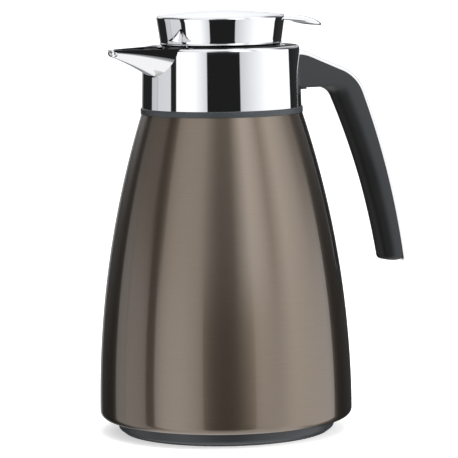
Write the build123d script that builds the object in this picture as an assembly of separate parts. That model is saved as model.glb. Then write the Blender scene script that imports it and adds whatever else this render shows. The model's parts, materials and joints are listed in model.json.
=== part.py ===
from build123d import *

# A 1.5 litre vacuum jug: a lacquered steel body round a double-walled glass flask, a plated
# pouring collar with a spout, a cantilever handle and a screw-in stopper lid whose thumb lever
# lifts the pour valve. Millimetres. The origin is on the body's axis at the resting plane, +Z is up,
# the handle points along +X and the spout along -X.

import os
from math import cos, pi, radians, sin, sqrt, tan

# ---------------------------------------------------------------- driving dimensions
# body
BODY_R = 75.8  # widest radius of the lacquered shell
WIDEST_Z = 13.0  # height of that radius
BODY_ARC_R = 585.0  # radius of the long arc that draws the shell in towards the neck
SHELL_TOP_Z = 191.0
SHELL_BOTTOM_Z = 8.4
SHELL_T = 0.8
LIP_ROUND = 4.6  # outer radius of the shell's rolled lower corner
SHELL_HOLE_R = 67.0

# base
BASE_R = 65.0
BASE_CLEAR_Z = 0.6  # the cap clears the table, and the foot ring carries the jug
BASE_FLOOR_Z = 3.5
SPIGOT_R = 63.0
CARRIER_R = 66.2
FOOT_R = (55.3, 61.7)
LUGS = 4

# flask
GLASS_T = 1.6
FLASK_GAP = 3.8  # shell outside to glass outside
VACUUM_GAP = 5.0
FLASK_BOTTOM_Z = 17.0
FLASK_CORNER_R = 21.0
SHOULDER_Z = 165.0
NECK_Z = 184.0
FLASK_TOP_Z = 192.0
NECK_R = 31.0
MOUTH_R = 25.0

# neck ring, collar and its insert
RING_R = 48.5
RING_TOP_Z = 194.6
COLLAR_BOTTOM_R = 47.7
COLLAR_TOP_R = 46.7
COLLAR_TOP_Z = 231.0
COLLAR_T = 1.6
COLLAR_ROUND = 1.8
LEDGE_R = 38.0  # inner edge of the collar's flat top
BORE_R = 35.0  # threaded bore of the insert
BORE_TOP_Z = 209.0
INSERT_FLOOR_Z = 197.0

# spout, as distances from the axis
SPOUT_ROOT = 36.5
SPOUT_TIP = 75.4
KEEL_AT_COLLAR_Z = 213.6
KEEL_SLOPE = 0.60
KEEL_EASE = 0.004  # the keel flattens towards the tip
SPOUT_WIDE = 22.0  # half width where the spout leaves the collar's top
SPOUT_WIDE_AT = 41.0
TIP_HALF_WIDTH = 3.0
ROUND_SHARE = 0.8  # how much of the section is elliptical; the rest is parabolic
SPOUT_T = 1.5

# screw thread between stopper and insert
THREAD_LEAD = 18.0
THREAD_STARTS = 3
RIDGE_ARC = 95.0
RIDGE_H = 2.2
RIDGE_LOW_Z = 199.6  # centre height of a ridge's lower end

# stopper
STOPPER_R = 32.9
STOPPER_T = 2.2
STOPPER_FLOOR_Z = 198.2
STOPPER_TOP_Z = 229.0
NOSE_R = 23.4
NOSE_BOTTOM_Z = 188.8
SEAT_R = 9.0
DECK_R = 35.2
DECK_T = 2.5
WINDOWS = 6

# lid
LID_BOTTOM_R = 36.1
LID_TOP_R = 38.4
LID_BOTTOM_Z = 232.4
LID_TOP_Z = 249.3
LID_T = 1.6
DOME_RISE = 2.7
COVER_R = 36.4
COVER_T = 1.4

# lever and valve
PIVOT_X = 29.0
PIVOT_Z = 240.0
LEVER_HALF_W = 8.5
LEVER_TIP_X = 68.8
PIN_R = 1.5
STEM_R = 2.3
VALVE_R = 11.5
SPRING_TOP_Z = 206.0

# handle
GRIP_HALF_W = 9.5
SPINE_T = 2.0
ARM_SLOPE = 21.8
BEND_R = 27.0
BEND_CORNER = (91.2, 211.0)
BACK_SLOPE = 22.5  # from the vertical, just below the bend
BACK_ARC_R = 450.0
GRIP_BOTTOM_Z = 94.2
ARM_BOTTOM_Z = 203.8
INNER_BEND_R = 12.0
SCREW_Z = 209.0
SCREW_Y = 5.5

CLEAR = 0.3  # gap between pieces that move past each other


# ---------------------------------------------------------------- helpers
def turned(*points):
    """Solid of revolution of the closed polygon of (radius, z) points."""
    outline = Polyline(*[(r, 0, z) for r, z in points], close=True)
    return revolve(make_face(outline), Axis.Z)


def tube(r_in, r_out, z0, z1):
    """Plain ring between two radii and two heights."""
    return turned((r_in, z0), (r_out, z0), (r_out, z1), (r_in, z1))


def disc(r, z0, z1):
    return Pos(0, 0, (z0 + z1) / 2) * Cylinder(r, z1 - z0)


def sector(r_in, r_out, z0, z1, middle, span):
    """Part of a ring, span degrees wide and centred on the angle middle."""
    outline = Polyline((r_in, 0, z0), (r_out, 0, z0), (r_out, 0, z1), (r_in, 0, z1), close=True)
    return Rot(0, 0, middle - span / 2) * revolve(make_face(outline), Axis.Z, span)


def block(x0, x1, y0, y1, z0, z1):
    return Pos((x0 + x1) / 2, (y0 + y1) / 2, (z0 + z1) / 2) * Box(x1 - x0, y1 - y0, z1 - z0)


def cross_rod(r, x, z, half_length):
    """Round rod along Y."""
    return Pos(x, 0, z) * Rot(90, 0, 0) * Cylinder(r, 2 * half_length)


def slab(outline, half_width):
    """A closed outline drawn in the XZ plane, made 2 * half_width wide about it."""
    return extrude(make_face(outline), amount=half_width, both=True, dir=(0, 1, 0))


def write(name, shape):
    """One STEP file for one named sub-part."""
    solids = shape.solids()
    export_step(solids[0] if len(solids) == 1 else Compound(children=list(solids)), f"parts/{name}.step")


# ---------------------------------------------------------------- body shell and base
def body_radius(z, inset=0.0):
    """Radius of the body's long arc at height z, moved inwards by inset."""
    arc_r = BODY_ARC_R - inset
    return BODY_R - BODY_ARC_R + sqrt(arc_r**2 - (z - WIDEST_Z) ** 2)


def body_arc(z0, z1, inset=0.0):
    """The body's long arc between two heights, in the XZ plane."""
    middle = (z0 + z1) / 2
    ends = [(body_radius(z, inset), 0, z) for z in (z0, middle, z1)]
    return ThreePointArc(*ends)


def body_core(inset, z_top):
    """Solid that fills the body's outline, moved inwards by inset."""
    corner = LIP_ROUND - inset
    centre_r = BODY_R - LIP_ROUND
    z0 = WIDEST_Z - corner
    diagonal = corner * cos(pi / 4)
    rounded = ThreePointArc(
        (centre_r, 0, z0),
        (centre_r + diagonal, 0, WIDEST_Z - diagonal),
        (centre_r + corner, 0, WIDEST_Z),
    )
    side = body_arc(WIDEST_Z, z_top, inset)
    top = body_radius(z_top, inset)
    closing = Polyline((top, 0, z_top), (0, 0, z_top), (0, 0, z0), (centre_r, 0, z0))
    return revolve(make_face([rounded, side, closing]), Axis.Z)


def outer_shell():
    bottom_hole = disc(SHELL_HOLE_R, 0, WIDEST_Z)
    return body_core(0, SHELL_TOP_Z) - body_core(SHELL_T, SHELL_TOP_Z + 1) - bottom_hole


def base_carrier():
    """Plastic ring clipped inside the shell's lower corner. Its ledges hold the base cap."""
    seat_z = SHELL_BOTTOM_Z + SHELL_T
    ring = turned(
        (CARRIER_R, seat_z), (70.5, seat_z), (70.5, 12.0), (74.0, 14.5), (74.0, 24.0), (72.5, 24.0),
        (71.5, 18.0), (CARRIER_R, 18.0),
    )
    for k in range(LUGS):
        ring += sector(SPIGOT_R + 0.4, CARRIER_R + 0.2, seat_z, 12.0, k * 360 / LUGS, 50)
    return ring


def base_cap():
    """Screw-off bottom: a cup with a skirt, a groove for the foot ring and four locking lugs."""
    cap = turned(
        (0, BASE_FLOOR_Z), (53.5, BASE_FLOOR_Z), (53.5, BASE_CLEAR_Z + 0.4), (55.0, BASE_CLEAR_Z + 0.4),
        (55.0, BASE_FLOOR_Z), (62.0, BASE_FLOOR_Z), (62.0, BASE_CLEAR_Z), (63.3, BASE_CLEAR_Z),
        (64.3, 1.2), (64.8, 2.4), (BASE_R, 4.5), (BASE_R, 9.0), (SPIGOT_R, 9.0), (SPIGOT_R, 18.0),
        (60.5, 18.0), (60.5, 6.0), (0, 6.0),
    )
    for k in range(LUGS):
        cap += sector(SPIGOT_R - 0.3, CARRIER_R - 0.4, 12.2, 15.0, k * 360 / LUGS, 40)
    return cap


def foot_ring():
    return tube(*FOOT_R, 0, BASE_FLOOR_Z)


def flask_support():
    """Rubber cushion between the base cap and the flask."""
    return turned((22, 6), (44, 6), (40, FLASK_BOTTOM_Z), (26, FLASK_BOTTOM_Z))


# ---------------------------------------------------------------- glass flask
def flask_core(inset, bottom_z, neck_r, top_z):
    """Solid that fills a flask wall's outline."""
    corner = FLASK_CORNER_R - (bottom_z - FLASK_BOTTOM_Z) * 0.6
    corner_z = bottom_z + corner
    side_r = body_radius(corner_z, FLASK_GAP + inset)
    centre_r = side_r - corner
    diagonal = corner * cos(pi / 4)
    rounded = ThreePointArc(
        (centre_r, 0, bottom_z),
        (centre_r + diagonal, 0, corner_z - diagonal),
        (side_r, 0, corner_z),
    )
    shoulder_z = SHOULDER_Z - 0.5 * inset
    side = body_arc(corner_z, shoulder_z, FLASK_GAP + inset)
    shoulder_r = body_radius(shoulder_z, FLASK_GAP + inset)
    closing = Polyline(
        (shoulder_r, 0, shoulder_z),
        (neck_r, 0, NECK_Z - 0.45 * inset),
        (neck_r, 0, top_z),
        (0, 0, top_z),
        (0, 0, bottom_z),
        (centre_r, 0, bottom_z),
    )
    return revolve(make_face([rounded, side, closing]), Axis.Z)


def flask_outer_wall():
    inner_r = NECK_R - GLASS_T
    wall = flask_core(0, FLASK_BOTTOM_Z, NECK_R, FLASK_TOP_Z - GLASS_T)
    wall -= flask_core(GLASS_T, FLASK_BOTTOM_Z + GLASS_T, inner_r, FLASK_TOP_Z)
    nib = Pos(0, 0, FLASK_BOTTOM_Z - 3) * Cone(1.5, 4.0, 6.2)
    return wall + nib


def flask_inner_wall():
    """The vessel itself, with the lip that closes the vacuum at the neck."""
    inset = GLASS_T + VACUUM_GAP
    bottom_z = FLASK_BOTTOM_Z + inset
    wall = flask_core(inset, bottom_z, MOUTH_R + GLASS_T, FLASK_TOP_Z)
    wall += disc(NECK_R, FLASK_TOP_Z - GLASS_T, FLASK_TOP_Z)
    return wall - flask_core(inset + GLASS_T, bottom_z + GLASS_T, MOUTH_R, FLASK_TOP_Z + 1)


def flask_spacer_pads():
    z0 = FLASK_BOTTOM_Z + GLASS_T
    pad = disc(4.0, z0, z0 + VACUUM_GAP)
    return Compound(children=[Rot(0, 0, 120 * k) * Pos(32, 0, 0) * pad for k in range(3)])


def flask_gasket():
    return tube(MOUTH_R + 0.3, NECK_R, FLASK_TOP_Z, RING_TOP_Z)


# ---------------------------------------------------------------- neck ring, collar and spout
def neck_ring():
    return turned(
        (41, 189), (44, 189), (44, 183), (46.6, 183), (46.6, SHELL_TOP_Z), (RING_R - 0.3, SHELL_TOP_Z),
        (RING_R, SHELL_TOP_Z + 0.4), (RING_R, RING_TOP_Z - 0.4), (RING_R - 0.3, RING_TOP_Z),
        (41, RING_TOP_Z),
    )


def spout_keel_z(x):
    along = x - COLLAR_TOP_R
    return KEEL_AT_COLLAR_Z + along * KEEL_SLOPE - along**2 * KEEL_EASE


def spout_half_width(x):
    taper = (SPOUT_WIDE - TIP_HALF_WIDTH) / (SPOUT_TIP - SPOUT_WIDE_AT)
    return SPOUT_WIDE - (x - SPOUT_WIDE_AT) * taper


def trough_rise(share):
    """Height of the trough's side, from 0 at the keel to 1 at the rim, at a share of its half width."""
    return (1 - ROUND_SHARE) * share**2 + ROUND_SHARE * (1 - sqrt(1 - share**2))


def spout_section(x, grow, above):
    """Trough section at distance x from the axis, grown outwards by grow, its top raised by above."""
    half = spout_half_width(x) + grow
    keel = spout_keel_z(x) - grow
    rim = COLLAR_TOP_Z
    right = [(half * s, keel + (rim - keel) * trough_rise(s)) for s in (0.35, 0.65, 0.88, 1)]
    left = [(-y, z) for y, z in reversed(right)]
    curve = Spline(*[(-x, y, z) for y, z in left + [(0, keel)] + right])
    closing = Polyline(
        (-x, half, rim), (-x, half, rim + above), (-x, -half, rim + above), (-x, -half, rim)
    )
    return make_face([curve, closing])


def spout_core(x0, x1, grow, above):
    steps = [x0 + (x1 - x0) * k / 3 for k in range(4)]
    return loft([spout_section(x, grow, above) for x in steps])


def spout_nose():
    """Rounded pouring lip that closes the spout's tip."""
    lip = scale(Sphere(1), by=(3.0, TIP_HALF_WIDTH + 1.3, 2.55))
    return Pos(-SPOUT_TIP + 3.0, 0, COLLAR_TOP_Z - 1.95) * lip


def collar():
    slope = (COLLAR_BOTTOM_R - COLLAR_TOP_R) / (COLLAR_TOP_Z - RING_TOP_Z)
    edge_z = COLLAR_TOP_Z - COLLAR_ROUND
    edge_r = COLLAR_TOP_R + slope * COLLAR_ROUND
    diagonal = COLLAR_ROUND * cos(pi / 4)
    rounded = ThreePointArc(
        (edge_r, 0, edge_z),
        (edge_r - COLLAR_ROUND + diagonal, 0, edge_z + diagonal),
        (edge_r - COLLAR_ROUND, 0, COLLAR_TOP_Z),
    )
    under_z = COLLAR_TOP_Z - COLLAR_T
    rest = Polyline(
        (edge_r - COLLAR_ROUND, 0, COLLAR_TOP_Z),
        (LEDGE_R, 0, COLLAR_TOP_Z),
        (LEDGE_R, 0, under_z),
        (COLLAR_TOP_R - COLLAR_T, 0, under_z),
        (COLLAR_BOTTOM_R - COLLAR_T, 0, RING_TOP_Z),
        (COLLAR_BOTTOM_R, 0, RING_TOP_Z),
        (edge_r, 0, edge_z),
    )
    wall = revolve(make_face([rounded, rest]), Axis.Z)
    for y in (-SCREW_Y, SCREW_Y):
        wall -= Pos(COLLAR_TOP_R, y, SCREW_Z) * Rot(0, 90, 0) * Cylinder(2.2, 12)
    trough = spout_core(SPOUT_ROOT, SPOUT_TIP - 1.6, 0, 0.05)
    hollow = spout_core(SPOUT_ROOT - 4, SPOUT_TIP - 2.4, -SPOUT_T, 3)
    return wall + trough + (spout_nose() - hollow) - hollow


def thread_ridges(r_root, r_crest, low_z, phase):
    """Three equal helical ridges of trapezium section, RIDGE_ARC degrees long."""
    rise = THREAD_LEAD * RIDGE_ARC / 360
    path = Helix(pitch=THREAD_LEAD, height=rise, radius=r_root)
    tip = RIDGE_H * 0.3
    section = Polyline(
        (r_root, 0, -RIDGE_H / 2), (r_crest, 0, -tip), (r_crest, 0, tip), (r_root, 0, RIDGE_H / 2),
        close=True,
    )
    ridge = sweep(make_face(section), path=path, is_frenet=True)
    turns = [phase + 360 / THREAD_STARTS * k for k in range(THREAD_STARTS)]
    return [Rot(0, 0, a) * Pos(0, 0, low_z) * ridge for a in turns]


def collar_insert():
    """Black funnel and threaded neck inside the collar, notched where the spout's trough runs in."""
    body = turned(
        (MOUTH_R + 0.6, RING_TOP_Z), (45.8, RING_TOP_Z), (45.8, INSERT_FLOOR_Z), (37.2, INSERT_FLOOR_Z),
        (37.2, BORE_TOP_Z + 0.6), (44.7, 226.4), (44.7, 229.2), (44.0, 229.2), (BORE_R, BORE_TOP_Z),
        (BORE_R, INSERT_FLOOR_Z), (MOUTH_R + 0.6, INSERT_FLOOR_Z),
    )
    body -= spout_core(SPOUT_ROOT - 4, COLLAR_TOP_R + 2, 0.15, 3)
    # the ridges of the insert lie half a start above those of the stopper
    low_z = RIDGE_LOW_Z + THREAD_LEAD / THREAD_STARTS / 2
    for ridge in thread_ridges(BORE_R + 0.25, STOPPER_R + 0.5, low_z, 0):
        body += ridge
    return body


# ---------------------------------------------------------------- stopper and valve
def stopper_body():
    body = turned(
        (SEAT_R, NOSE_BOTTOM_Z), (NOSE_R, NOSE_BOTTOM_Z), (NOSE_R, 190.3), (24.4, 190.3), (24.4, 191.4),
        (NOSE_R, 191.4), (NOSE_R, 194.7), (24.4, 194.7), (24.4, 195.8), (NOSE_R, 195.8),
        (NOSE_R, STOPPER_FLOOR_Z), (STOPPER_R, STOPPER_FLOOR_Z), (STOPPER_R, STOPPER_TOP_Z),
        (STOPPER_R - STOPPER_T, STOPPER_TOP_Z), (STOPPER_R - STOPPER_T, STOPPER_FLOOR_Z + 2.4),
        (NOSE_R - 2, STOPPER_FLOOR_Z + 2.4), (NOSE_R - 2, NOSE_BOTTOM_Z + 2), (SEAT_R, NOSE_BOTTOM_Z + 2),
    )
    for k in range(WINDOWS):
        body -= sector(STOPPER_R - 6, STOPPER_R + 2, 212, 226, 360 / WINDOWS * k, 38)
    for ridge in thread_ridges(STOPPER_R - 0.25, BORE_R - 0.5, RIDGE_LOW_Z, 0):
        body += ridge
    floor_z = STOPPER_FLOOR_Z + 2.4
    for k in range(3):
        post = Pos(28.2, 0, 0) * disc(3.2, floor_z - 0.5, STOPPER_TOP_Z)
        hole = Pos(28.2, 0, 0) * disc(1.5, 215, STOPPER_TOP_Z)
        body += Rot(0, 0, 90 + 120 * k) * post
        body -= Rot(0, 0, 90 + 120 * k) * hole
    return body


def stopper_seal():
    """Ring seal carried in the nose's groove."""
    return turned((23.7, 191.7), (24.4, 191.7), (24.7, 192.6), (24.7, 193.6), (24.4, 194.4), (23.7, 194.4))


def stopper_deck():
    """Plate that closes the stopper under the lid, with the lever's two ears."""
    top = STOPPER_TOP_Z + DECK_T
    deck = disc(DECK_R, STOPPER_TOP_Z, top) - disc(STEM_R + CLEAR, STOPPER_TOP_Z - 1, top + 1)
    for side in (-1, 1):
        ear = block(-3, 3, -1.2, 1.2, top - 0.2 - PIVOT_Z, 0) + Rot(90, 0, 0) * Cylinder(3.0, 2.4)
        deck += Pos(PIVOT_X, side * 10.0, PIVOT_Z) * ear
    deck -= cross_rod(PIN_R, PIVOT_X, PIVOT_Z, 14)
    for k in range(3):
        deck -= Rot(0, 0, 90 + 120 * k) * Pos(28.2, 0, 0) * disc(1.7, STOPPER_TOP_Z - 1, top + 1)
    return deck


def stem_seal():
    top = STOPPER_TOP_Z + DECK_T
    bore = STEM_R + CLEAR
    return turned((bore, top), (6, top), (6, top + 0.8), (4, top + 2.4), (bore, top + 2.4))


def stem_guide():
    """Three-armed spider that steadies the stem and backs the spring."""
    hub = tube(STEM_R + CLEAR, 6.5, SPRING_TOP_Z, SPRING_TOP_Z + 2.5)
    reach = STOPPER_R - STOPPER_T - 0.1
    for k in range(3):
        arm = block(5.5, reach, -2, 2, SPRING_TOP_Z, SPRING_TOP_Z + 2.5)
        hub += Rot(0, 0, 30 + 120 * k) * arm
    return hub


def valve_seal():
    z0 = NOSE_BOTTOM_Z + 2.1
    return disc(VALVE_R, z0, z0 + 1.6)


def valve_disc():
    z0 = NOSE_BOTTOM_Z + 3.7
    return turned((0, z0), (VALVE_R, z0), (VALVE_R, z0 + 1.2), (7, z0 + 2.5), (4, z0 + 2.5), (0, z0 + 2.5))


def valve_stem():
    z0 = NOSE_BOTTOM_Z + 6.2
    return turned((0, z0), (STEM_R, z0), (STEM_R, 241.5), (5, 241.5), (5, 243.0), (4.4, 243.6), (0, 243.6))


def valve_spring():
    z0 = NOSE_BOTTOM_Z + 6.2 + 0.6
    z1 = SPRING_TOP_Z - 0.6
    path = Helix(pitch=(z1 - z0) / 4, height=z1 - z0, radius=5.0)
    wire = make_face(Plane(origin=path @ 0, z_dir=path % 0) * Circle(0.5).edge())
    return Pos(0, 0, z0) * sweep(wire, path=path, is_frenet=True)


# ---------------------------------------------------------------- lid and lever
def lid_shell():
    """Plated conical ring with an inner flange that the deck's screws clamp."""
    round_r = 1.6
    slope = (LID_TOP_R - LID_BOTTOM_R) / (LID_TOP_Z - LID_BOTTOM_Z)
    edge_z = LID_TOP_Z - round_r
    edge_r = LID_TOP_R - slope * round_r
    rounded = ThreePointArc(
        (edge_r, 0, edge_z),
        (edge_r - round_r * (1 - cos(pi / 4)), 0, edge_z + round_r * sin(pi / 4)),
        (edge_r - round_r, 0, LID_TOP_Z),
    )
    flange_z = STOPPER_TOP_Z + DECK_T
    rest = Polyline(
        (edge_r - round_r, 0, LID_TOP_Z),
        (COVER_R + 0.05, 0, LID_TOP_Z),
        (COVER_R + 0.05, 0, LID_TOP_Z - COVER_T),
        (COVER_R - 1.4, 0, LID_TOP_Z - COVER_T),
        (LID_BOTTOM_R - LID_T, 0, flange_z + 1.8),
        (25, 0, flange_z + 1.8),
        (25, 0, flange_z),
        (LID_BOTTOM_R - 0.8, 0, flange_z),
        (LID_BOTTOM_R + 0.3, 0, LID_BOTTOM_Z),
        (LID_BOTTOM_R + 0.3, 0, LID_BOTTOM_Z + 0.8),
        (LID_BOTTOM_R, 0, LID_BOTTOM_Z + 1.0),
        (edge_r, 0, edge_z),
    )
    shell = revolve(make_face([rounded, rest]), Axis.Z)
    half = LEVER_HALF_W + 0.4
    shell -= block(27, 45, -half, half, 243.4, LID_TOP_Z + 2)
    shell -= block(22, 34.4, -11.7, 11.7, flange_z - 1, flange_z + 4)
    for k in range(3):
        shell -= Rot(0, 0, 90 + 120 * k) * Pos(28.2, 0, 0) * disc(1.7, flange_z - 1, flange_z + 3)
    return shell


def dome_z(r):
    """Height of the cover's upper face at radius r."""
    ball_r = (COVER_R**2 + DOME_RISE**2) / (2 * DOME_RISE)
    return LID_TOP_Z + DOME_RISE - ball_r + sqrt(ball_r**2 - r**2)


def lid_cover():
    """Shallow dome let into the top of the lid's ring, slotted for the lever."""
    ball_r = (COVER_R**2 + DOME_RISE**2) / (2 * DOME_RISE)
    centre_z = LID_TOP_Z + DOME_RISE - ball_r
    blank = disc(COVER_R, LID_TOP_Z - COVER_T, LID_TOP_Z + DOME_RISE + 1)
    cover = blank & Pos(0, 0, centre_z) * Sphere(ball_r)
    cover -= Pos(0, 0, centre_z) * Sphere(ball_r - COVER_T)
    half = LEVER_HALF_W + 0.4
    return cover - block(PIVOT_X - 2.1, 45, -half, half, 240, 255)


def lid_screws():
    top = STOPPER_TOP_Z + DECK_T + 1.8
    screw = disc(1.5, top - 14, top + 0.1) + disc(2.8, top, top + 1.8)
    slot = block(-2, 2, -0.4, 0.4, top + 1.0, top + 2)
    return Compound(children=[Rot(0, 0, 90 + 120 * k) * Pos(28.2, 0, 0) * (screw - slot) for k in range(3)])


def lever_pin():
    return cross_rod(PIN_R, PIVOT_X, PIVOT_Z, 11.0)


def lever():
    """Thumb tab outside the lid, hub on the pin and a forked arm under the stem's head."""
    top = Spline(
        (PIVOT_X - 1.7, 0, dome_z(PIVOT_X - 1.7)), (38.3, 0, 249.1), (50.7, 0, 247.9), (60.0, 0, 245.7),
        (LEVER_TIP_X - 1, 0, 242.4),
    )
    tip = ThreePointArc((LEVER_TIP_X - 1, 0, 242.4), (LEVER_TIP_X, 0, 241.5), (LEVER_TIP_X - 1.4, 0, 240.9))
    under = Polyline(
        (LEVER_TIP_X - 1.4, 0, 240.9), (56.5, 0, 242.9), (53.0, 0, 244.2), (39.4, 0, 245.5),
        (33.2, 0, 245.8), (31.4, 0, PIVOT_Z), (26.6, 0, PIVOT_Z),
        (PIVOT_X - 1.7, 0, dome_z(PIVOT_X - 1.7)),
    )
    tab = slab([top, tip, under], LEVER_HALF_W)
    plan = block(20, LEVER_TIP_X - 7, -LEVER_HALF_W, LEVER_HALF_W, 230, 255)
    plan += Pos(LEVER_TIP_X - 7.5, 0, 242) * scale(Cylinder(1, 26), by=(7.5, LEVER_HALF_W, 1))
    tab = tab & plan
    hub = cross_rod(3.0, PIVOT_X, PIVOT_Z, 8.3)
    arm = block(-3, PIVOT_X - 1, -6, 6, 236.6, 239.2)
    arm += cross_rod(2.0, 0, 239.2, 6)
    arm -= block(-6, 4.5, -STEM_R - 0.5, STEM_R + 0.5, 230, 245)
    made = tab + hub + arm
    return made - cross_rod(PIN_R + 0.05, PIVOT_X, PIVOT_Z, 12)


# ---------------------------------------------------------------- handle
def handle_line(inset):
    """The handle's outer line from root to lower end, moved inwards by inset.

    Gives (edges, first point, last point).
    """
    a, b = radians(ARM_SLOPE), radians(BACK_SLOPE)
    corner = Vector(BEND_CORNER[0], 0, BEND_CORNER[1])
    along_arm = Vector(cos(a), 0, -sin(a))
    along_back = Vector(sin(b), 0, -cos(b))
    turn = pi / 2 - a - b
    reach = BEND_R * tan(turn / 2)
    arm_normal = Vector(sin(a), 0, cos(a))
    back_normal = Vector(cos(b), 0, sin(b))
    bend_start = corner - along_arm * reach - arm_normal * inset
    bend_end = corner + along_back * reach - back_normal * inset
    centre = corner - along_arm * reach - arm_normal * BEND_R
    middle = (arm_normal + back_normal).normalized()
    bend_middle = centre + middle * (BEND_R - inset)
    root = bend_start - along_arm * 45
    back_centre = bend_end + back_normal * inset - back_normal * BACK_ARC_R
    radius = BACK_ARC_R - inset

    def on_back(z):
        return Vector(back_centre.X + sqrt(radius**2 - (z - back_centre.Z) ** 2), 0, z)

    last = on_back(GRIP_BOTTOM_Z)
    halfway = on_back((bend_end.Z + GRIP_BOTTOM_Z) / 2)
    edges = [
        Line(root, bend_start),
        ThreePointArc(bend_start, bend_middle, bend_end),
        ThreePointArc(bend_end, halfway, last),
    ]
    return edges, root, last


def inner_line():
    """The grip's inner line from the lower end back up to the arm's underside: (edges, first, last)."""
    b = radians(BACK_SLOPE + 2)
    top_x = 75.6
    reach = INNER_BEND_R * tan((pi / 2 - b) / 2)
    bend_start = Vector(top_x - reach, 0, ARM_BOTTOM_Z)
    bend_end = Vector(top_x + sin(b) * reach, 0, ARM_BOTTOM_Z - cos(b) * reach)
    centre = Vector(top_x - reach, 0, ARM_BOTTOM_Z - INNER_BEND_R)
    middle_angle = (pi / 2 + b) / 2
    bend_middle = centre + Vector(cos(middle_angle), 0, sin(middle_angle)) * INNER_BEND_R
    low = Vector(111.4, 0, GRIP_BOTTOM_Z + 1.5)
    chord = low - bend_end
    bulge = Vector(-chord.Z, 0, chord.X).normalized() * (chord.length**2 / (8 * 430.0))
    halfway = (low + bend_end) / 2 + bulge
    root = Vector(30, 0, ARM_BOTTOM_Z + 0.6)
    edges = [
        ThreePointArc(low, halfway, bend_end),
        ThreePointArc(bend_end, bend_middle, bend_start),
        Line(bend_start, root),
    ]
    return edges, low, root


def collar_radius(z):
    """Outer radius of the collar's straight wall at height z."""
    share = (z - RING_TOP_Z) / (COLLAR_TOP_Z - RING_TOP_Z)
    return COLLAR_BOTTOM_R + (COLLAR_TOP_R - COLLAR_BOTTOM_R) * share


def collar_cone():
    """Solid that fills the collar's outside, for cutting the handle's root to fit."""
    return turned((0, 180), (collar_radius(180), 180), (collar_radius(240), 240), (0, 240))


def spine_root():
    """The spine thickens where it meets the collar and reaches a little way down."""
    curve = Spline((46, 0, 222.6), (50.2, 0, 222.8), (53.0, 0, 224.3), (58, 0, 223.6))
    back = Polyline((58, 0, 223.6), (60, 0, 225), (44, 0, 231), (46, 0, 222.6))
    return slab([curve, back], GRIP_HALF_W)


def handle_spine():
    outer, first, last = handle_line(0)
    inner, inner_first, inner_last = handle_line(SPINE_T)
    strip = slab(
        [*outer, Line(last, inner_last), *inner, Line(inner_first, first)], GRIP_HALF_W
    )
    envelope, root, end = handle_line(0)
    below = slab([*envelope, Polyline(end, (0, 0, end.Z), (0, 0, root.Z), root)], GRIP_HALF_W + 1)
    strip += spine_root() & below
    return strip - collar_cone()


def handle_grip():
    outer, first, last = handle_line(SPINE_T)
    inner, low, root = inner_line()
    grip = slab([*outer, Line(last, low), *inner, Line(root, first)], GRIP_HALF_W)
    grip -= spine_root()
    grip -= collar_cone()
    grip += block(50.0, 55.0, -7.5, 7.5, ARM_BOTTOM_Z - 0.7, ARM_BOTTOM_Z + 1.5)
    for y in (-SCREW_Y, SCREW_Y):
        grip -= Pos(53, y, SCREW_Z) * Rot(0, 90, 0) * Cylinder(2.6, 18)
    return grip


def handle_bracket():
    """Curved steel plate inside the collar that spreads the load of the two screws."""
    r_out = 45.3
    plate = sector(r_out - 1.5, r_out, 203.5, 213.5, 0, 26)
    for y in (-SCREW_Y, SCREW_Y):
        plate -= Pos(45, y, SCREW_Z) * Rot(0, 90, 0) * Cylinder(1.9, 12)
    return plate


def handle_screws():
    screws = []
    for y in (-SCREW_Y, SCREW_Y):
        shank = Pos(49.4, y, SCREW_Z) * Rot(0, 90, 0) * Cylinder(1.7, 16)
        head = Pos(41.8, y, SCREW_Z) * Rot(0, 90, 0) * Cylinder(3.0, 2.2)
        screws.append(shank + head)
    return Compound(children=screws)


def handle_inserts():
    inserts = []
    for y in (-SCREW_Y, SCREW_Y):
        sleeve = Pos(56, y, SCREW_Z) * Rot(0, 90, 0) * (Cylinder(2.6, 10) - Cylinder(1.7, 20))
        inserts.append(sleeve)
    return Compound(children=inserts)


# ---------------------------------------------------------------- write the parts
os.makedirs("parts", exist_ok=True)
PARTS = [
    outer_shell, base_carrier, base_cap, foot_ring, flask_support, flask_outer_wall, flask_inner_wall,
    flask_spacer_pads, flask_gasket, neck_ring, collar, collar_insert, stopper_body, stopper_seal,
    stopper_deck, stem_seal, stem_guide, valve_seal, valve_disc, valve_stem, valve_spring, lid_shell,
    lid_cover, lid_screws, lever_pin, lever, handle_spine, handle_grip, handle_bracket, handle_screws,
    handle_inserts,
]
for make in PARTS:
    write(make.__name__, make())
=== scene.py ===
from math import atan2, cos, degrees, pi, radians, sin, sqrt, tan

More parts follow.
